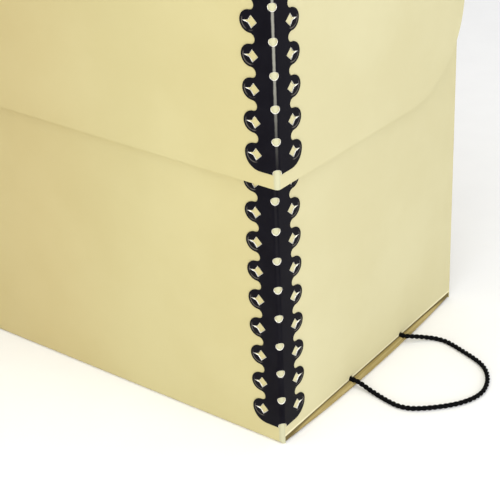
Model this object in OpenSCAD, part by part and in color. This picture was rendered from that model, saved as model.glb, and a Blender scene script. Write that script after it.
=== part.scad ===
// Flip-top archival document case: scored board panels, folded metal corner
// stays and a cord pull at one narrow end.
// Frame: +Z up, +X towards the cord pull, -Y towards the lid's front flap.
// Origin: centre of the footprint, on the surface that the case stands on.

/* [Case] */
// Outside length of the case, over the two end walls
case_l = 314; // [200:1:400]
// Outside depth of the case, over the front and back walls
case_d = 133.5; // [90:0.5:180]
// Height of the closed case
case_h = 260; // [200:1:330]
// Thickness of the board
board = 1.5; // [1:0.1:1.8]

/* [Bottom] */
// How far the folded bottom bulges past each end wall, halfway along it
bulge = 2.6; // [0.4:0.1:3.5]
// Length of the tuck flap folded back on the bottom at each end
tuck_l = 45; // [20:1:60]
// Width of the second bottom layer that folds in from the back wall
inner_flap_w = 96; // [50:1:110]
// Room between the tuck flaps and the second bottom layer
flap_gap = 1; // [0.5:0.1:4]

/* [Lid] */
// Height of the lid's front and end flaps
lid_h = 143.4; // [80:0.1:170]
// Room between the front wall and the lid's front flap
front_gap = 0.6; // [0.5:0.1:2]
// Room between an end wall and the lid's end flap
end_gap = 1.6; // [0.6:0.1:3]
// Radius of the rear lower corner of each end flap
flap_corner_r = 42; // [5:1:60]
// Distance from the rear edge of an end flap to the back of the case
flap_back_gap = 0.5; // [0.3:0.1:5]

/* [Metal stays] */
// Thickness of the stay metal
stay_t = 0.35; // [0.2:0.01:0.45]
// Distance between two holes along the fold
pitch = 12.7; // [11:0.1:16]
// Diameter of the holes along the fold
fold_hole_d = 3.3; // [2:0.1:5]
// Distance from the fold to the tip of a lobe
stay_w = 14.3; // [12:0.1:18]
// Radius of a lobe
lobe_r = 4.25; // [3.8:0.05:5]
// Height of a lobe's centre above the hole below it
lobe_rise = 5.9; // [5:0.1:7]
// Metal left past the half hole at each end of a stay
end_lap = 0.65; // [0:0.05:1.5]
// Least board left bare past the ends of a stay
stay_margin = 8; // [5:0.5:20]
// Height of the lowest half hole of a base stay
base_stay_z = 8.7; // [7:0.1:20]
// Height of a lid stay's lowest half hole above the lid's lower edge
lid_stay_rise = 6.6; // [2:0.1:20]

/* [Prong openings] */
// Reach of an opening from the lobe's centre towards the fold
opening_in = 3.4; // [2:0.1:4]
// Half the height of an opening
opening_half_h = 2.5; // [1.5:0.1:3]
// Distance from the lobe's centre to the opening's widest place
opening_wide_u = 0.8; // [0:0.1:2]
// Reach of the narrow slit from the lobe's centre towards the tip
slit_out = 3.1; // [1:0.1:3.5]
// Half the width of the slit where it leaves the opening
slit_half_w = 0.55; // [0.2:0.05:0.8]

/* [Cord pull] */
// Diameter of the cord
cord_d = 2.1; // [1.5:0.1:2.4]
// Room around the cord in its slots
notch_gap = 0.25; // [0.15:0.05:0.5]
// Diameter of the knots inside the end wall
knot_d = 5.6; // [4.5:0.1:7]
// Length of a knot along the cord
knot_l = 6; // [4:0.5:9]

/* [Hidden] */
$fn = 48;

board_color = [0.89, 0.84, 0.65];
fold_color = [0.80, 0.72, 0.48];
stay_color = [0.10, 0.10, 0.13];
cord_color = [0.05, 0.05, 0.06];

fit = 0.2;            // room between board edges that meet but are not joined
fold_r = board;       // outer radius of every scored fold
wall_top = case_h - board;
wall_lift = 2 * board + fit;   // lower edge of an end wall, over the doubled bottom
flap_z = case_h - lid_h;       // lower edge of the lid's flaps
inside_d = case_d - 2 * board;

// The footprint's centre is not the walls' centre, because the front flap and
// its stays stand out in front of the front wall.
front_reach = front_gap + board + stay_t;
shift_y = front_reach / 2;

lid_x = case_l / 2 + end_gap + board;     // outer face of an end flap
lid_y = case_d / 2 + front_gap + board;   // outer face of the front flap

bow_r = (pow(inside_d / 2, 2) + pow(bulge, 2)) / (2 * bulge);
bow_x = case_l / 2 + bulge - fold_r - bow_r;   // centre of the bowed fold line
bow_a = asin((inside_d / 2 - fit) / bow_r);

lobe_u = stay_w - lobe_r;
notch_r = pitch / 2 - lobe_r;
base_stay_n = floor((wall_top - stay_margin - base_stay_z) / pitch);
lid_stay_n = floor((lid_h - board - stay_margin - lid_stay_rise) / pitch);

knot_gap = 0.2;       // room between a knot and the inner face of the wall
cord_z = 3.4;         // height of the cord where it passes the end wall
rest_z = 1.1;         // height of the cord's centre where it lies
rear_exit_y = 87.6;
front_exit_y = 47.5;

// The cord's route: [out from the end wall, back from the front wall, up]
CORD = [
    [-board - knot_gap, rear_exit_y, cord_z], [1.5, rear_exit_y, cord_z], [3.5, 88.4, 3.2],
    [6.8, 91.6, 2.3], [10.6, 94.7, 1.4], [14.5, 96.4, rest_z], [19, 96.7, rest_z],
    [24, 95.7, rest_z], [30.3, 93.8, rest_z], [36.5, 91.8, rest_z], [41.6, 89.6, rest_z],
    [45.8, 86.4, rest_z], [49.2, 82, rest_z], [51.5, 76.8, rest_z], [52.4, 71.2, rest_z],
    [51.2, 65.5, rest_z], [48.2, 60, rest_z], [44.1, 55.1, rest_z], [39.4, 50.8, rest_z],
    [35, 47.4, rest_z], [30.8, 45.2, rest_z], [26.5, 44.4, rest_z], [21.8, 44.8, rest_z],
    [16, 46, rest_z], [10.6, 47, 1.5], [6.8, 47.4, 2.4], [3.5, 47.5, 3.2],
    [1.5, front_exit_y, cord_z], [-board - knot_gap, front_exit_y, cord_z]
];
CORD_SIDES = 8;

// ---- base ----

// Square corner of side r, rounded about its inner corner
module quarter(r) {
    intersection() {
        circle(r = r);
        translate([-r, -r]) square(r);
    }
}

// Wall along X with its outer face at y = 0 and its upright and lower outer edges rounded
module long_wall() {
    intersection() {
        linear_extrude(wall_top) {
            translate([fold_r - case_l / 2, 0]) square([case_l - 2 * fold_r, board]);
            for (side = [0, 1])
                mirror([side, 0]) translate([fold_r - case_l / 2, fold_r]) quarter(fold_r);
        }
        rotate([90, 0, 90]) linear_extrude(case_l, center = true) {
            translate([0, fold_r]) square([board, wall_top - fold_r]);
            translate([fold_r, fold_r]) quarter(fold_r);
        }
    }
}

module front_wall() {
    color(board_color) translate([0, shift_y - case_d / 2, 0]) long_wall();
}

module back_wall() {
    color(board_color) translate([0, shift_y, 0])
        mirror([0, 1, 0]) translate([0, -case_d / 2, 0]) long_wall();
}

// End wall between the two long walls, standing on the doubled bottom
module end_wall_blank() {
    translate([case_l / 2 - board, -inside_d / 2, wall_lift])
        cube([board, inside_d, wall_top - wall_lift]);
}

// Slot for the cord at y, open towards the bottom or the top
module cord_slot(y, open_low) {
    r = cord_d / 2 + notch_gap;
    reach = 2 * board + bulge + 1;
    translate([case_l / 2 - 2 * board, y - case_d / 2, cord_z]) {
        rotate([0, 90, 0]) cylinder(r = r, h = reach);
        translate([0, -r, open_low ? -cord_z : 0]) cube([reach, 2 * r, cord_z]);
    }
}

module string_end_wall() {
    color(board_color) translate([0, shift_y, 0]) difference() {
        end_wall_blank();
        for (y = [rear_exit_y, front_exit_y]) cord_slot(y, true);
    }
}

module plain_end_wall() {
    color(board_color) translate([0, shift_y, 0]) mirror([1, 0, 0]) end_wall_blank();
}

// Disc whose edge is the bowed fold line at one end
module bow_disc(side) {
    translate([side * bow_x, 0]) circle(r = bow_r, $fn = 2880);
}

module bottom_panel() {
    color(board_color) translate([0, shift_y, 0]) linear_extrude(board) intersection() {
        square([case_l + 2 * bulge, inside_d - 2 * fit], center = true);
        bow_disc(1);
        bow_disc(-1);
    }
}

// Tuck flap and its half-round fold in section, as [out from the fold line, up]
module flap_section() {
    intersection() {
        circle(r = fold_r, $fn = 48);
        translate([0, -fold_r]) square([fold_r, 2 * fold_r]);
    }
    translate([-tuck_l, 0]) square([tuck_l, board]);
}

// Flap folded back on the bottom along the bowed line, with tapering sides
module tuck_flap() {
    translate([bow_x, 0, fold_r]) rotate([0, 0, -bow_a])
        rotate_extrude(angle = 2 * bow_a, $fn = 2880) translate([bow_r, 0]) flap_section();
}

module string_end_tuck_flap() {
    color(fold_color) translate([0, shift_y, 0]) difference() {
        tuck_flap();
        for (y = [rear_exit_y, front_exit_y]) cord_slot(y, false);
    }
}

module plain_end_tuck_flap() {
    color(fold_color) translate([0, shift_y, 0]) mirror([1, 0, 0]) tuck_flap();
}

module inner_bottom_flap() {
    l = case_l - 2 * (tuck_l + bulge + flap_gap);
    color(board_color) translate([-l / 2, shift_y + inside_d / 2 - fit - inner_flap_w, board])
        cube([l, inner_flap_w, board]);
}

// ---- lid ----

// Top panel with its front and end edges rounded into the flaps
module lid_top() {
    core_x = lid_x - fold_r;
    core_y = lid_y - fold_r;
    depth = core_y + case_d / 2 - board;
    color(board_color) translate([0, shift_y, wall_top]) {
        rotate([90, 0, 90]) linear_extrude(2 * core_x, center = true) translate([-core_y, 0]) {
            square([depth, board]);
            mirror([0, 1]) quarter(fold_r);
        }
        for (side = [0, 1])
            mirror([side, 0, 0]) translate([core_x, -core_y, 0]) {
                translate([0, depth, 0]) rotate([90, 0, 0])
                    linear_extrude(depth) rotate(180) quarter(fold_r);
                rotate(-90) rotate_extrude(angle = 90) rotate(180) quarter(fold_r);
            }
    }
}

module lid_front_flap() {
    h = lid_h - board;
    color(board_color) translate([0, shift_y - lid_y, flap_z]) linear_extrude(h) {
        translate([fold_r - lid_x, 0]) square([2 * (lid_x - fold_r), board]);
        for (side = [0, 1])
            mirror([side, 0]) translate([fold_r - lid_x, fold_r]) quarter(fold_r);
    }
}

// End flap with a round rear lower corner, seen from the end as [y, z]
module end_flap() {
    y0 = board - lid_y;
    y1 = case_d / 2 - flap_back_gap;
    translate([lid_x - board, 0, 0]) rotate([90, 0, 90]) linear_extrude(board) {
        translate([y0, flap_z + flap_corner_r]) square([y1 - y0, lid_h - board - flap_corner_r]);
        translate([y0, flap_z]) square([y1 - flap_corner_r - y0, flap_corner_r]);
        intersection() {
            translate([y1 - flap_corner_r, flap_z + flap_corner_r])
                circle(r = flap_corner_r, $fn = 96);
            translate([y1 - flap_corner_r, flap_z]) square(flap_corner_r);
        }
    }
}

module lid_string_end_flap() {
    color(board_color) translate([0, shift_y, 0]) end_flap();
}

module lid_plain_end_flap() {
    color(board_color) translate([0, shift_y, 0]) mirror([1, 0, 0]) end_flap();
}

// Rounded crease along the top of the back wall, where the lid folds
module lid_hinge_fold() {
    color(board_color) translate([-case_l / 2, shift_y + case_d / 2 - fold_r, wall_top])
        intersection() {
            rotate([0, 90, 0]) cylinder(r = fold_r, h = case_l);
            cube([case_l, fold_r, fold_r]);
        }
}

// ---- stays ----

// Opening left by the prongs, around the lobe's centre
module prong_opening() {
    polygon([
        [-opening_in, 0], [-opening_wide_u, opening_half_h], [slit_half_w, slit_half_w],
        [slit_out, 0], [slit_half_w, -slit_half_w], [-opening_wide_u, -opening_half_h]
    ]);
}

// Quarter disc that rounds the outline from an end of the stay to its end lobe
module end_quarter(r, up) {
    translate([stay_w - r, 0]) intersection() {
        circle(r = r);
        translate([0, up ? 0 : -r]) square(r);
    }
}

// Flat outline of one leg of a stay with n pitches, as [from the fold, up]
module leg_outline(n) {
    low_r = lobe_rise + end_lap;
    high_r = pitch - lobe_rise + end_lap;
    top_lobe = (n - 1) * pitch + lobe_rise;
    difference() {
        union() {
            translate([fold_r, lobe_rise]) square([lobe_u - fold_r, top_lobe - lobe_rise]);
            for (k = [0 : n - 1])
                translate([lobe_u, k * pitch + lobe_rise]) circle(r = lobe_r);
            translate([fold_r, -end_lap]) square([stay_w - low_r - fold_r, low_r]);
            translate([0, lobe_rise]) end_quarter(low_r, false);
            translate([fold_r, top_lobe]) square([stay_w - high_r - fold_r, high_r]);
            translate([0, top_lobe]) end_quarter(high_r, true);
        }
        for (k = [0 : n - 1]) {
            translate([lobe_u, k * pitch + lobe_rise]) prong_opening();
            if (k > 0) translate([lobe_u, (k - 0.5) * pitch + lobe_rise]) circle(r = notch_r);
        }
    }
}

// Stay around the outer corner x = 0, y = 0 of boards that lie in x > 0, y > 0
module stay(n) {
    h = n * pitch;
    color(stay_color) difference() {
        union() {
            for (leg = [0, 1])
                mirror([leg, -leg, 0]) rotate([90, 0, 0]) linear_extrude(stay_t) leg_outline(n);
            translate([fold_r, fold_r, -end_lap]) linear_extrude(h + 2 * end_lap) intersection() {
                difference() {
                    circle(r = fold_r + stay_t);
                    circle(r = fold_r);
                }
                translate([-2 * fold_r, -2 * fold_r]) square(2 * fold_r);
            }
        }
        for (k = [0 : n])
            translate([0, 0, k * pitch]) rotate([0, 0, 45]) rotate([0, 90, 0])
                translate([0, 0, -fold_r]) cylinder(d = fold_hole_d, h = 4 * fold_r);
    }
}

// Stay on a front corner at [x, y], on the side sx of the case
module corner_stay(sx, x, y, z, n) {
    translate([sx * x, shift_y - y, z]) mirror([sx > 0 ? 1 : 0, 0, 0]) stay(n);
}

module base_stay(sx) {
    corner_stay(sx, case_l / 2, case_d / 2, base_stay_z, base_stay_n);
}

module lid_stay(sx) {
    corner_stay(sx, lid_x, lid_y, flap_z + lid_stay_rise, lid_stay_n);
}

module string_corner_stay() { base_stay(1); }
module plain_corner_stay() { base_stay(-1); }
module lid_string_corner_stay() { lid_stay(1); }
module lid_plain_corner_stay() { lid_stay(-1); }

// ---- cord ----

function unit(v) = v / norm(v);
function last(list) = len(list) - 1;

// Direction of the route at point i
function heading(path, i) =
    unit(path[min(i + 1, last(path))] - path[max(i - 1, 0)]);

// Points around the route at point i
function ring(path, i, r) =
    let (ahead = heading(path, i), side = unit(cross([0, 0, 1], ahead)), up = cross(ahead, side))
    [for (k = [0 : CORD_SIDES - 1])
        let (a = (k + 0.5) * 360 / CORD_SIDES)
        path[i] + r * (cos(a) * side + sin(a) * up)];

// The faces between ring i and the next ring
function band(i) =
    [for (k = [0 : CORD_SIDES - 1])
        let (m = (k + 1) % CORD_SIDES, low = i * CORD_SIDES, high = low + CORD_SIDES)
        [low + k, high + k, high + m, low + m]];

module tube(path, r) {
    rings = [for (i = [0 : last(path)]) each ring(path, i, r)];
    sides = [for (i = [0 : last(path) - 1]) each band(i)];
    start = [for (k = [0 : CORD_SIDES - 1]) k];
    end = [for (k = [CORD_SIDES - 1 : -1 : 0]) last(path) * CORD_SIDES + k];
    polyhedron(points = rings, faces = concat([start, end], sides), convexity = 8);
}

// The string end's front lower corner, from which the cord's route is measured
string_corner = [case_l / 2, shift_y - case_d / 2, 0];

module pull_cord() {
    color(cord_color) translate(string_corner) tube(CORD, cord_d / 2);
}

// Knot against the inner face of the end wall, flattened where it rests on the flap
module cord_knot(y) {
    rise = knot_d / 2 - 0.7;
    color(cord_color) translate(string_corner + [-board - knot_gap - knot_l, y, 2 * board + 0.05])
        intersection() {
            translate([0, 0, rise]) rotate([0, 90, 0]) cylinder(d = knot_d, h = knot_l);
            translate([0, -knot_d, 0]) cube([knot_l, 2 * knot_d, 2 * knot_d]);
        }
}

module rear_cord_knot() { cord_knot(rear_exit_y); }
module front_cord_knot() { cord_knot(front_exit_y); }

front_wall();
back_wall();
string_end_wall();
plain_end_wall();
bottom_panel();
string_end_tuck_flap();
plain_end_tuck_flap();
inner_bottom_flap();
lid_top();
lid_front_flap();
lid_string_end_flap();
lid_plain_end_flap();
lid_hinge_fold();
string_corner_stay();
plain_corner_stay();
lid_string_corner_stay();
lid_plain_corner_stay();
pull_cord();
rear_cord_knot();
front_cord_knot();
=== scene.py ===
"""Archival document case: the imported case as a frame, with its twisted cord, knots, hinge
crease, the bare rims of the punched stays, materials, floor, lights and camera."""
import math

import bpy
from mathutils import Matrix, Vector


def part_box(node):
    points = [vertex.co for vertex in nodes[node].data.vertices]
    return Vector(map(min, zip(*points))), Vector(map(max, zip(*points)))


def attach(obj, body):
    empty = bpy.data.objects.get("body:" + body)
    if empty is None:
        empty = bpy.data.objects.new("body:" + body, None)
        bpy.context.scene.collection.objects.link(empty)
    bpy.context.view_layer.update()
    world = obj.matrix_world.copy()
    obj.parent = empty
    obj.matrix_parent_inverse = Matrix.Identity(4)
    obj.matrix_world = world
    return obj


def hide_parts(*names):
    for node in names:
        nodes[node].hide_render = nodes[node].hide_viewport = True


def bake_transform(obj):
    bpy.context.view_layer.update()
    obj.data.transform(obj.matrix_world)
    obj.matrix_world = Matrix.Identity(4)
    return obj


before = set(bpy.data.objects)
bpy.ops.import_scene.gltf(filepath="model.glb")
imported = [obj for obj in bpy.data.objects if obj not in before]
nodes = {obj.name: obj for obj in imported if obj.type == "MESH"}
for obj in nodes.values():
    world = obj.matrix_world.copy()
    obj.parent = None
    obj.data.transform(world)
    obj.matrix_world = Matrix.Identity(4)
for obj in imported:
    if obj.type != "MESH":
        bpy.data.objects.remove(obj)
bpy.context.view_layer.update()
MM = 0.001

# ---- camera ----

CAMERA_AT = Vector((0.4113, -0.3847, 0.3203))
CAMERA_AIM = Vector((0.2090, 0.0287, 0.1249))
CAMERA_ROLL = math.radians(3.05)
CAMERA_SHIFT = (-0.5388, -0.2740)
LENS_MM = 87.63


def make_camera():
    data = bpy.data.cameras.new("camera")
    data.lens = LENS_MM
    data.sensor_width = 36.0
    data.shift_x, data.shift_y = CAMERA_SHIFT
    data.clip_start = 0.01
    camera = bpy.data.objects.new("camera", data)
    bpy.context.scene.collection.objects.link(camera)
    turn = (CAMERA_AIM - CAMERA_AT).to_track_quat("-Z", "Y").to_matrix().to_4x4()
    camera.matrix_world = Matrix.Translation(CAMERA_AT) @ turn @ Matrix.Rotation(CAMERA_ROLL, 4, "Z")
    bpy.context.scene.camera = camera


make_camera()


# ---- mesh helpers ----


def add_mesh(name, verts, faces, material, smooth=True):
    mesh = bpy.data.meshes.new(name)
    mesh.from_pydata([tuple(v) for v in verts], [], faces)
    mesh.update()
    if smooth:
        mesh.polygons.foreach_set("use_smooth", [True] * len(mesh.polygons))
    piece = bpy.data.objects.new(name, mesh)
    bpy.context.scene.collection.objects.link(piece)
    mesh.materials.append(material)
    return piece


def smooth_path(points, steps, closed=False):
    """Catmull-Rom curve through the points, with that many steps between two of them."""
    n = len(points)
    out = []
    spans = n if closed else n - 1
    for i in range(spans):
        if closed:
            a, b, c, d = (points[(i + k) % n] for k in (-1, 0, 1, 2))
        else:
            a, b, c, d = (points[min(max(i + k, 0), n - 1)] for k in (-1, 0, 1, 2))
        for s in range(steps):
            t = s / steps
            out.append(0.5 * (2 * b + (c - a) * t + (2 * a - 5 * b + 4 * c - d) * t * t
                              + (3 * b - a - 3 * c + d) * t * t * t))
    if not closed:
        out.append(points[-1].copy())
    return out


def even_path(path, gap):
    """The same path with its points a fixed gap apart."""
    runs = [(b - a).length for a, b in zip(path, path[1:])]
    total = sum(runs)
    count = max(2, round(total / gap))
    out, i, before = [], 0, 0.0
    for k in range(count + 1):
        at = total * k / count
        while i < len(runs) - 1 and before + runs[i] < at:
            before += runs[i]
            i += 1
        out.append(path[i].lerp(path[i + 1], min(1.0, (at - before) / runs[i])))
    return out


def frames_along(path):
    """At each point of a path: the way ahead and two directions square to it, without twist."""
    ahead = [(path[min(i + 1, len(path) - 1)] - path[max(i - 1, 0)]).normalized()
             for i in range(len(path))]
    side = ahead[0].cross(Vector((0, 0, 1))).normalized()
    out = []
    for direction in ahead:
        side = (side - direction * side.dot(direction)).normalized()
        out.append((direction, side, direction.cross(side)))
    return out


def tube(path, radius, sides):
    """Vertices and faces of a round tube along a path, closed at both ends."""
    verts, faces = [], []
    for point, (_, side, up) in zip(path, frames_along(path)):
        for k in range(sides):
            a = math.tau * k / sides
            verts.append(point + radius * (math.cos(a) * side + math.sin(a) * up))
    for i in range(len(path) - 1):
        for k in range(sides):
            m = (k + 1) % sides
            a, b = i * sides, (i + 1) * sides
            faces.append((a + k, a + m, b + m, b + k))
    last = (len(path) - 1) * sides
    faces.append(tuple(reversed(range(sides))))
    faces.append(tuple(range(last, last + sides)))
    return verts, faces


# ---- cord and knots ----

STRANDS = 2
STRAND_SIDES = 10
STRAND_R = 0.64 * MM
STRAND_OFFSET = 0.45 * MM
TWIST_LENGTH = 4.6 * MM
CORD_STEP = 0.3 * MM
# Points are [out from the string end wall, back from the front wall, up], in millimetres
CORD_ROUTE = [
    (-1.7, 87.6, 3.4), (1.5, 87.6, 3.4), (3.5, 88.4, 3.2), (6.8, 91.6, 2.3), (10.6, 94.7, 1.4),
    (14.5, 96.4, 1.1), (19, 96.7, 1.1), (24, 95.7, 1.1), (30.3, 93.8, 1.1), (36.5, 91.8, 1.1),
    (41.6, 89.6, 1.1), (45.8, 86.4, 1.1), (49.2, 82, 1.1), (51.5, 76.8, 1.1), (52.4, 71.2, 1.1),
    (51.2, 65.5, 1.1), (48.2, 60, 1.1), (44.1, 55.1, 1.1), (39.4, 50.8, 1.1), (35, 47.4, 1.1),
    (30.8, 45.2, 1.1), (26.5, 44.4, 1.1), (21.8, 44.8, 1.1), (16, 46, 1.1), (10.6, 47, 1.5),
    (6.8, 47.4, 2.4), (3.5, 47.5, 3.2), (1.5, 47.5, 3.4), (-1.7, 47.5, 3.4),
]
wall_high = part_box("string_end_wall")[1]
front_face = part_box("front_wall")[0].y
string_corner = Vector((wall_high.x, front_face, 0.0))


def strands(path):
    """Vertices and faces of the strands twisted around a path."""
    verts, faces = [], []
    spots = list(zip(path, frames_along(path)))
    for s in range(STRANDS):
        line = []
        for i, (point, (_, side, up)) in enumerate(spots):
            a = math.tau * (i * CORD_STEP / TWIST_LENGTH + s / STRANDS)
            line.append(point + STRAND_OFFSET * (math.cos(a) * side + math.sin(a) * up))
        strand_verts, strand_faces = tube(line, STRAND_R, STRAND_SIDES)
        base = len(verts)
        verts += strand_verts
        faces += [tuple(base + k for k in face) for face in strand_faces]
    return verts, faces


def make_cord(material):
    route = [string_corner + Vector(p) * MM for p in CORD_ROUTE]
    path = even_path(smooth_path(route, 8), CORD_STEP)
    verts, faces = strands(path)
    cord = add_mesh("twisted_pull_cord", verts, faces, material)
    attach(cord, "case")
    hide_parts("pull_cord")
    return cord, path


KNOT_SIZE = 0.78 * MM
KNOT_SQUASH = (0.75, 0.8, 0.75)
KNOT_POINTS = 14


def make_knot(node, name, material):
    """Overhand knot pulled tight, in the place of a CAD knot."""
    low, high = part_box(node)
    centre = (low + high) / 2
    loop = []
    for k in range(KNOT_POINTS):
        a = math.tau * k / KNOT_POINTS
        x = math.sin(a) + 2 * math.sin(2 * a)
        y = math.cos(a) - 2 * math.cos(2 * a)
        z = -math.sin(3 * a)
        loop.append(centre + KNOT_SIZE * Vector((x, y, z)) * Vector(KNOT_SQUASH))
    path = even_path(smooth_path(loop, 10, closed=True) + [loop[0]], CORD_STEP)
    verts, faces = strands(path)
    knot = add_mesh(name, verts, faces, material)
    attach(knot, "case")
    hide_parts(node)
    return knot


# ---- bare rims of the punched stays ----

# Sizes of the stays, in millimetres
FOLD_R = 1.5
STAY_T = 0.35
PITCH = 12.7
LOBE_U = 10.05
LOBE_RISE = 5.9
FOLD_HOLE_R = 1.65
FOLD_HOLE_STEPS = 24
END_LAP = 0.65
# Outline of an opening as [from the lobe's centre towards the tip, up], in millimetres
OPENING = [(-3.4, 0), (-0.8, 2.5), (0.55, 0.55), (3.1, 0), (0.55, -0.55), (-0.8, -2.5)]
OPENING_MIDDLE = -0.8
# Section of a rim: [share of the size inwards, share of the metal's thickness down]
OPENING_RIM = [(0.0, 0.0), (0.05, 0.12), (0.10, 0.45), (0.13, 0.95)]
HOLE_RIM = [(0.0, 0.0), (0.06, 0.12), (0.11, 0.45), (0.14, 0.95)]


def join_rings(rings, closed):
    """Vertices and faces between rings of equal length."""
    n = len(rings[0])
    verts = [point for ring in rings for point in ring]
    faces = []
    for r in range(len(rings) - 1):
        for i in range(n if closed else n - 1):
            m = (i + 1) % n
            faces.append((r * n + i, r * n + m, (r + 1) * n + m, (r + 1) * n + i))
    return verts, faces


def opening_rim(lobe, leg):
    """Rim of the opening in a lobe, on the leg along x (0) or along y (1)."""
    rings = []
    for share, down in OPENING_RIM:
        ring = []
        for u, v in OPENING:
            out = -STAY_T * (1 - down)
            along = LOBE_U + OPENING_MIDDLE + (u - OPENING_MIDDLE) * (1 - share)
            up = lobe * PITCH + LOBE_RISE + v * (1 - share)
            ring.append((along, out, up) if leg == 0 else (out, along, up))
        rings.append(ring)
    return join_rings(rings, closed=True)


def across_fold(h, thickness):
    """How deep into the corner, along its diagonal, the surface lies at distance h beside it."""
    outer = FOLD_R + thickness
    if abs(h) > outer / math.sqrt(2):
        return abs(h) - thickness * math.sqrt(2)
    return FOLD_R * math.sqrt(2) - math.sqrt(outer ** 2 - h ** 2)


def hole_rim(k, pitches):
    """Rim of hole k on the fold; the first and the last hole are halves."""
    lap = math.degrees(math.asin(END_LAP / FOLD_HOLE_R))
    first, last = {0: (-lap, 180 + lap), pitches: (180 - lap, 360 + lap)}.get(k, (0, 360))
    rings = []
    for share, down in HOLE_RIM:
        r = FOLD_HOLE_R * (1 - share)
        ring = []
        for i in range(FOLD_HOLE_STEPS + 1):
            a = math.radians(first + (last - first) * i / FOLD_HOLE_STEPS)
            h = r * math.cos(a)
            deep = (1 - down) * across_fold(h, STAY_T) + down * across_fold(h, 0.0)
            ring.append(((deep + h) / math.sqrt(2), (deep - h) / math.sqrt(2),
                         k * PITCH + r * math.sin(a)))
        rings.append(ring)
    return join_rings(rings, closed=False)


def make_rims(node, body, material):
    """All rims of one stay as one mesh, placed by the stay's CAD box."""
    low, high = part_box(node)
    side = 1 if high.x > 0 else -1
    edge = (high.x if side > 0 else -low.x) - STAY_T * MM
    front = low.y + STAY_T * MM
    bottom = low.z + END_LAP * MM
    pitches = round((high.z - low.z - 2 * END_LAP * MM) / (PITCH * MM))
    parts = [opening_rim(k, leg) for k in range(pitches) for leg in (0, 1)]
    parts += [hole_rim(k, pitches) for k in range(pitches + 1)]
    verts, faces = [], []
    for part_verts, part_faces in parts:
        base = len(verts)
        faces += [tuple(base + k for k in face) for face in part_faces]
        verts += [(side * (edge - x * MM), front + y * MM, bottom + z * MM)
                  for x, y, z in part_verts]
    rims = add_mesh(node + "_rims", verts, faces, material)
    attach(rims, body)


# ---- hinge crease ----

CREASE_TURNS = 10
CREASE_SPANS = 40
CREASE_INNER = 0.15


def make_crease(material):
    """Curved board between the back wall and the lid's top."""
    low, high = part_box("lid_hinge_fold")
    radius = high.z - low.z
    middle_y = high.y - radius
    length = high.x - low.x
    section = []
    for r, order in ((radius, 1), (CREASE_INNER * radius, -1)):
        for k in range(CREASE_TURNS + 1)[::order]:
            a = math.pi / 2 * k / CREASE_TURNS
            section.append((middle_y + r * math.cos(a), low.z + r * math.sin(a)))
    rings = []
    for i in range(CREASE_SPANS + 1):
        x = low.x + length * i / CREASE_SPANS
        rings.append([(x, y, z) for y, z in section])
    verts, faces = join_rings(rings, closed=True)
    n = len(section)
    faces.append(tuple(range(n)))
    faces.append(tuple(CREASE_SPANS * n + k for k in reversed(range(n))))
    crease = add_mesh("hinge_crease", verts, faces, material)
    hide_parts("lid_hinge_fold")
    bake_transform(crease)


# ---- materials ----


class Shader:
    """A material's node tree with short ways to add and join nodes."""

    def __init__(self, name):
        self.material = bpy.data.materials.new(name)
        self.material.use_nodes = True
        self.tree = self.material.node_tree
        self.surface = self.tree.nodes["Principled BSDF"]
        self.place = self.add("ShaderNodeTexCoord").outputs["Object"]
        self.facing = self.place.node.outputs["Normal"]

    def add(self, kind, **values):
        node = self.tree.nodes.new(kind)
        for key, value in values.items():
            setattr(node, key, value)
        return node

    def join(self, value, socket):
        if hasattr(value, "is_output"):
            self.tree.links.new(value, socket)
        else:
            socket.default_value = value

    def math(self, operation, a, b=0.0):
        node = self.add("ShaderNodeMath", operation=operation)
        self.join(a, node.inputs[0])
        self.join(b, node.inputs[1])
        return node.outputs[0]

    def noise(self, scale, detail=3.0, rough=0.5, distortion=0.0, stretch=(1, 1, 1)):
        place = self.place
        if stretch != (1, 1, 1):
            mapping = self.add("ShaderNodeMapping")
            self.join(place, mapping.inputs["Vector"])
            mapping.inputs["Scale"].default_value = stretch
            place = mapping.outputs[0]
        node = self.add("ShaderNodeTexNoise")
        self.join(place, node.inputs["Vector"])
        node.inputs["Scale"].default_value = scale
        node.inputs["Detail"].default_value = detail
        node.inputs["Roughness"].default_value = rough
        node.inputs["Distortion"].default_value = distortion
        return node.outputs["Fac"]

    def ramp(self, value, low, high, out_low=0.0, out_high=1.0):
        node = self.add("ShaderNodeMapRange", interpolation_type="SMOOTHSTEP")
        for key, v in zip(("Value", "From Min", "From Max", "To Min", "To Max"),
                          (value, low, high, out_low, out_high)):
            self.join(v, node.inputs[key])
        return node.outputs["Result"]

    def mix(self, share, a, b, blend="MIX"):
        node = self.add("ShaderNodeMix", data_type="RGBA", blend_type=blend)
        self.join(share, node.inputs["Factor"])
        for value, socket in ((a, node.inputs[6]), (b, node.inputs[7])):
            self.join(value if hasattr(value, "is_output") else (*value, 1.0), socket)
        return node.outputs[2]

    def split(self, vector):
        node = self.add("ShaderNodeSeparateXYZ")
        self.join(vector, node.inputs[0])
        return node.outputs

    def bump(self, height, distance, strength=1.0, under=None):
        node = self.add("ShaderNodeBump")
        node.inputs["Distance"].default_value = distance
        node.inputs["Strength"].default_value = strength
        self.join(height, node.inputs["Height"])
        if under is not None:
            self.join(under, node.inputs["Normal"])
        return node.outputs[0]


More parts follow.
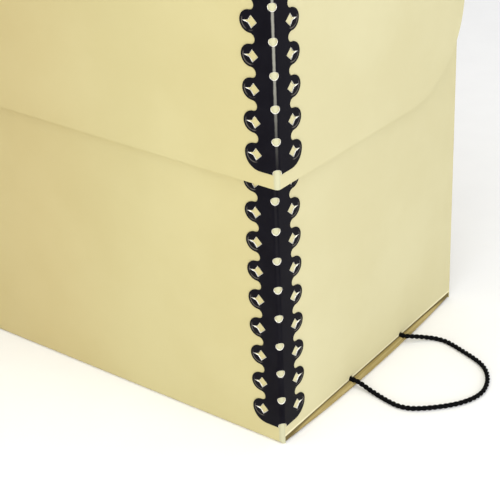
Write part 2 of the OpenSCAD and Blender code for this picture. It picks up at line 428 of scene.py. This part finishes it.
BOARD_LIGHT = (0.593, 0.548, 0.334)
BOARD_DARK = (0.565, 0.516, 0.304)
# LIT_END_TINT and MIDDLE_SHADE_TINT multiply long panels as painted shade: paler at the ends, darker
# and warmer in the middle.
LIT_END_TINT = (0.98, 0.945, 0.80)
MIDDLE_SHADE_TINT = (0.95, 0.86, 0.69)
BOARD_FLECK = (0.500, 0.410, 0.210)
BOARD_CORE = (0.600, 0.510, 0.290)
# BOARD_EDGE_HIGHLIGHT is the colour of a painted highlight along a lower cut edge.
BOARD_EDGE_HIGHLIGHT = (0.800, 0.745, 0.500)
FOLD_SHADE_DARK = (0.260, 0.190, 0.055)
FOLD_SHADE_LIGHT = (0.400, 0.310, 0.120)
FOLD_WORN = (0.490, 0.478, 0.320)
CREVICE_SHADOW = (0.060, 0.042, 0.012)
ENAMEL = (0.0036, 0.0030, 0.0056)
ENAMEL_HAZE = (0.0062, 0.0056, 0.0088)
ENAMEL_FOLD_HIGHLIGHT = (0.240, 0.235, 0.200)
CURL_HIGHLIGHT = (0.110, 0.098, 0.085)
STEEL_DULL = (0.62, 0.60, 0.54)
STEEL_BRIGHT = (0.86, 0.85, 0.80)
CORD_BLACK = (0.001, 0.001, 0.0012)
CORD_FUZZ = (0.006, 0.006, 0.007)
FLOOR_DIM = (0.95, 0.95, 0.95)
FLOOR_PALE = (0.965, 0.965, 0.965)


def fold_distance(m, corner):
    """Distance from the upright fold at corner (x, y), and from the one at the other end."""
    x, y, _ = m.split(m.place)
    across = m.math("ABSOLUTE", m.math("SUBTRACT", m.math("ABSOLUTE", x), corner[0]))
    along = m.math("ABSOLUTE", m.math("SUBTRACT", y, corner[1]))
    return m.math("MAXIMUM", across, along)


def board_colour(m):
    """Pressed tan board: slow clouds, fine fibres and a few darker flecks."""
    cloud = m.noise(16, detail=4, rough=0.55)
    fibre = m.noise(620, detail=5, rough=0.62, distortion=0.9)
    strand = m.noise(260, detail=2, distortion=2.2, stretch=(1, 1, 3.5))
    colour = m.mix(m.ramp(cloud, 0.35, 0.68), BOARD_DARK, BOARD_LIGHT)
    colour = m.mix(m.ramp(fibre, 0.30, 0.78, 0.12, 0.0), colour, BOARD_DARK)
    colour = m.mix(m.ramp(strand, 0.70, 0.78, 0.0, 0.16), colour, BOARD_FLECK)
    return colour, cloud, fibre


def board_finish(m, colour, cloud, fibre):
    """The board's colour, roughness and relief, joined to its surface."""
    m.join(colour, m.surface.inputs["Base Color"])
    m.join(m.ramp(fibre, 0.2, 0.8, 0.72, 0.88), m.surface.inputs["Roughness"])
    m.surface.inputs["Specular IOR Level"].default_value = 0.2
    wave = m.bump(cloud, 0.6 * MM, 0.3)
    m.join(m.bump(fibre, 0.05 * MM, 0.5, wave), m.surface.inputs["Normal"])
    return m.material


def board_material(name, cut=None, edge_highlight_at=None, middle_shade=False, fold=None):
    """Board panel. cut is the way its cut edges face: "z", or "not_x" for an end panel.
    edge_highlight_at is the height of a lower edge that gets a painted highlight: a pale line for the
    light caught by its crushed edge. A panel with aged set gets painted shade, darker and warmer in
    the middle of its length, where the light falls off away from the corner. fold is the corner (x,
    y) of its upright folds, worn pale."""
    m = Shader(name)
    colour, cloud, fibre = board_colour(m)
    if middle_shade:
        # Painted shade: darker and warmer towards the middle of the length, where the light falls off
        # away from the corner.
        end = m.ramp(m.math("ABSOLUTE", m.split(m.place)[0]), 0.02, 0.10)
        colour = m.mix(1.0, colour, m.mix(end, MIDDLE_SHADE_TINT, LIT_END_TINT), blend="MULTIPLY")
    if fold:
        worn = m.ramp(fold_distance(m, fold), 1.2 * MM, 2.4 * MM, 0.9, 0.0)
        colour = m.mix(worn, colour, FOLD_WORN)
    if edge_highlight_at is not None:
        # Painted highlight: a pale line just above the lower edge, for the light caught by the
        # crushed edge.
        above = m.math("SUBTRACT", m.split(m.place)[2], edge_highlight_at)
        colour = m.mix(m.ramp(above, 0.5 * MM, 1.3 * MM, 0.8, 0.0), colour, BOARD_EDGE_HIGHLIGHT)
    if cut:
        facing = m.split(m.facing)
        edge = m.math("ABSOLUTE", facing[2] if cut == "z" else facing[0])
        edge = m.ramp(edge, 0.75, 0.85) if cut == "z" else m.ramp(edge, 0.15, 0.25, 1.0, 0.0)
        ply = m.noise(900, detail=3, rough=0.7, distortion=1.5)
        core = m.mix(m.ramp(ply, 0.35, 0.65), BOARD_CORE, BOARD_DARK)
        colour = m.mix(edge, colour, core)
    return board_finish(m, colour, cloud, fibre)


def fold_material(name, wall_x):
    """Tuck flap: at its sharp fold, past the end wall's outer face at wall_x, the pressed skin
    has cracked and the plies show as lines. Over them the fold is painted dark golden brown as
    painted shade and warm bounce light, for a rounded fold that faces out and down under the wall.
    The crevice along the wall is darkest, a painted shadow line."""
    m = Shader(name)
    colour, cloud, fibre = board_colour(m)
    ply = m.noise(900, detail=3, rough=0.65, distortion=0.4, stretch=(1, 0.03, 1))
    # Painted shade: dark golden browns, broken by ply lines, for the shaded fold lit by warm bounce
    # light.
    shaded_tone = m.mix(m.ramp(ply, 0.32, 0.68), FOLD_SHADE_DARK, FOLD_SHADE_LIGHT)
    out = m.math("SUBTRACT", m.math("ABSOLUTE", m.split(m.place)[0]), wall_x)
    fold_shade_band = m.ramp(out, -1.5 * MM, 0.0, 0.0, 0.93)
    colour = m.mix(fold_shade_band, colour, shaded_tone)
    # Painted shadow: a dark line in the crevice along the foot of the wall.
    crevice_shadow = m.math("MULTIPLY", fold_shade_band, m.ramp(out, 0.2 * MM, 0.8 * MM, 0.75, 0.0))
    colour = m.mix(crevice_shadow, colour, CREVICE_SHADOW)
    lines = m.math("MULTIPLY", fold_shade_band, m.math("MULTIPLY", ply, 3.0))
    return board_finish(m, colour, cloud, m.math("ADD", fibre, lines))


def curl_highlight(m, away, z, lowest):
    """Painted highlight: a thin pale crescent on the raised rim of the curl that the prongs leave
    around each lobe's centre, on its tip side and below it. away is the distance from the fold, and
    lowest the stay's lower end."""
    first = lowest + (END_LAP + LOBE_RISE - PITCH / 2) * MM
    turn = m.math("FLOORED_MODULO", m.math("SUBTRACT", z, first), PITCH * MM)
    up = m.math("SUBTRACT", turn, PITCH / 2 * MM)
    out = m.math("SUBTRACT", away, LOBE_U * MM)
    square = m.math("ADD", m.math("MULTIPLY", up, up), m.math("MULTIPLY", out, out))
    r = m.math("SQRT", square)
    inner = m.ramp(r, 2.9 * MM, 3.2 * MM)
    outer = m.ramp(r, 3.3 * MM, 3.6 * MM, 1.0, 0.0)
    below = m.ramp(m.math("SUBTRACT", out, up), 1.0 * MM, 3.0 * MM)
    broken = m.ramp(m.noise(300), 0.3, 0.55)
    return m.math("MULTIPLY", m.math("MULTIPLY", inner, outer), m.math("MULTIPLY", below, broken))


def enamel_material(name, corner, lowest, wear, wear_from, wear_to):
    """Black enamel on thin steel. Along the fold at corner (x, y) it has a painted highlight, a pale
    grey line, from nothing at height wear_from to the full share wear at height wear_to."""
    m = Shader(name)
    haze = m.noise(120, detail=4, rough=0.6)
    colour = m.mix(m.ramp(haze, 0.3, 0.75), ENAMEL, ENAMEL_HAZE)
    z = m.split(m.place)[2]
    away = fold_distance(m, corner)
    ragged = m.math("MULTIPLY", m.math("SUBTRACT", m.noise(500, 4), 0.5), 0.35 * MM)
    # Painted highlight: a ragged pale grey line along the fold, fading in with height.
    line = m.ramp(m.math("ADD", away, ragged), 0.35 * MM, 0.75 * MM, 1.0, 0.0)
    fade = m.ramp(z, wear_from, wear_to, 0.0, wear)
    colour = m.mix(m.math("MULTIPLY", line, fade), colour, ENAMEL_FOLD_HIGHLIGHT)
    # Painted highlight: a thin pale crescent on each lobe's raised rim.
    colour = m.mix(curl_highlight(m, away, z, lowest), colour, CURL_HIGHLIGHT)
    m.join(colour, m.surface.inputs["Base Color"])
    peel = m.noise(700, detail=2)
    m.join(m.ramp(haze, 0.25, 0.8, 0.34, 0.50), m.surface.inputs["Roughness"])
    m.surface.inputs["Specular IOR Level"].default_value = 0.04
    m.join(m.bump(peel, 0.03 * MM, 0.5), m.surface.inputs["Normal"])
    return m.material


def bare_steel_material(name):
    """Unpainted steel where the strip was punched."""
    m = Shader(name)
    speck = m.noise(1500, detail=3, rough=0.6)
    colour = m.mix(m.ramp(speck, 0.35, 0.7), STEEL_DULL, STEEL_BRIGHT)
    m.join(colour, m.surface.inputs["Base Color"])
    m.surface.inputs["Metallic"].default_value = 1.0
    m.join(m.ramp(speck, 0.3, 0.7, 0.30, 0.48), m.surface.inputs["Roughness"])
    return m.material


def cord_material(name):
    """Matte black yarn with a little fuzz."""
    m = Shader(name)
    fuzz = m.noise(2600, detail=4, rough=0.7, stretch=(1, 1, 2))
    colour = m.mix(m.ramp(fuzz, 0.35, 0.8), CORD_BLACK, CORD_FUZZ)
    m.join(colour, m.surface.inputs["Base Color"])
    m.join(m.ramp(fuzz, 0.3, 0.7, 0.75, 0.95), m.surface.inputs["Roughness"])
    m.surface.inputs["Specular IOR Level"].default_value = 0.06
    m.surface.inputs["Sheen Weight"].default_value = 0.01
    m.join(m.bump(fuzz, 0.12 * MM, 0.8), m.surface.inputs["Normal"])
    return m.material


def floor_material(name):
    m = Shader(name)
    grain = m.noise(40, detail=3)
    colour = m.mix(m.ramp(grain, 0.3, 0.7), FLOOR_DIM, FLOOR_PALE)
    m.join(colour, m.surface.inputs["Base Color"])
    m.surface.inputs["Roughness"].default_value = 0.9
    m.surface.inputs["Specular IOR Level"].default_value = 0.1
    return m.material


def paint(names, material):
    """Gives CAD nodes a material."""
    for name in names:
        slots = nodes[name].data.materials
        slots.clear()
        slots.append(material)


# ---- build ----

cord_look = cord_material("black_cord")
cord, cord_path = make_cord(cord_look)
rear_knot = make_knot("rear_cord_knot", "rear_knot", cord_look)
front_knot = make_knot("front_cord_knot", "front_knot", cord_look)

wall_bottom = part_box("string_end_wall")[0].z
base_low, base_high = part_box("front_wall")
lid_low, lid_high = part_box("lid_front_flap")
base_corner = (base_high.x, base_low.y)
lid_corner = (lid_high.x, lid_low.y)
paint(["back_wall"], board_material("board_back", cut="z", middle_shade=True))
paint(["front_wall"], board_material("board_front", cut="z", middle_shade=True, fold=base_corner))
paint(["lid_front_flap"], board_material("board_lid_front", cut="z", middle_shade=True, fold=lid_corner))
paint(["lid_string_end_flap", "lid_plain_end_flap"], board_material("board_end", cut="not_x"))
paint(["string_end_wall", "plain_end_wall"],
      board_material("board_end_wall", cut="not_x", edge_highlight_at=wall_bottom))
flat_board = board_material("board_flat")
paint(["bottom_panel", "inner_bottom_flap", "lid_top"], flat_board)
paint(["string_end_tuck_flap", "plain_end_tuck_flap"],
      fold_material("board_fold", wall_high.x))
make_crease(flat_board)

paint(["string_corner_stay", "plain_corner_stay"],
      enamel_material("enamel_base", base_corner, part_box("string_corner_stay")[0].z,
                      0.06, 0.0, 0.25))
paint(["lid_string_corner_stay", "lid_plain_corner_stay"],
      enamel_material("enamel_lid", lid_corner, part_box("lid_string_corner_stay")[0].z,
                      1.0, 0.12, 0.17))
bare_steel = bare_steel_material("bare_steel")
for stay in ("string_corner_stay", "plain_corner_stay"):
    make_rims(stay, "case", bare_steel)
for stay in ("lid_string_corner_stay", "lid_plain_corner_stay"):
    make_rims(stay, "lid", bare_steel)

# ---- floor and light ----

FLOOR_REACH = 4.0
WORLD_STRENGTH = 0.50


def make_floor():
    corners = [(x * FLOOR_REACH, y * FLOOR_REACH, 0) for x, y in ((-1, -1), (1, -1), (1, 1), (-1, 1))]
    floor = add_mesh("floor", corners, [(0, 1, 2, 3)], floor_material("pale_floor"), smooth=False)


def make_lamp(name, at, aim, size, power, colour=(1, 1, 1)):
    data = bpy.data.lights.new(name, "AREA")
    data.shape = "SQUARE"
    data.size = size
    data.energy = power
    data.color = colour
    lamp = bpy.data.objects.new(name, data)
    bpy.context.scene.collection.objects.link(lamp)
    lamp.location = at
    lamp.rotation_euler = (Vector(aim) - Vector(at)).to_track_quat("-Z", "Y").to_euler()
    lamp.visible_camera = False


def make_light():
    world = bpy.data.worlds.new("studio")
    world.use_nodes = True
    back = world.node_tree.nodes["Background"]
    back.inputs["Color"].default_value = (1.0, 1.0, 1.0, 1.0)
    back.inputs["Strength"].default_value = WORLD_STRENGTH
    bpy.context.scene.world = world
    make_lamp("top", at=(0.1, -0.2, 1.8), aim=(0, 0, 0), size=2.0, power=17.0)
    make_lamp("right", at=(1.5, -0.3, 0.6), aim=(0.157, 0, 0.12), size=1.0, power=11.0,
              colour=(0.98, 0.99, 1.0))
    make_lamp("left", at=(0.30, -0.45, 0.22), aim=(0.12, -0.06, 0.12), size=0.3, power=1.0,
              colour=(1.0, 0.99, 0.97))
    bpy.context.scene.view_settings.view_transform = "Standard"


make_floor()
make_light()
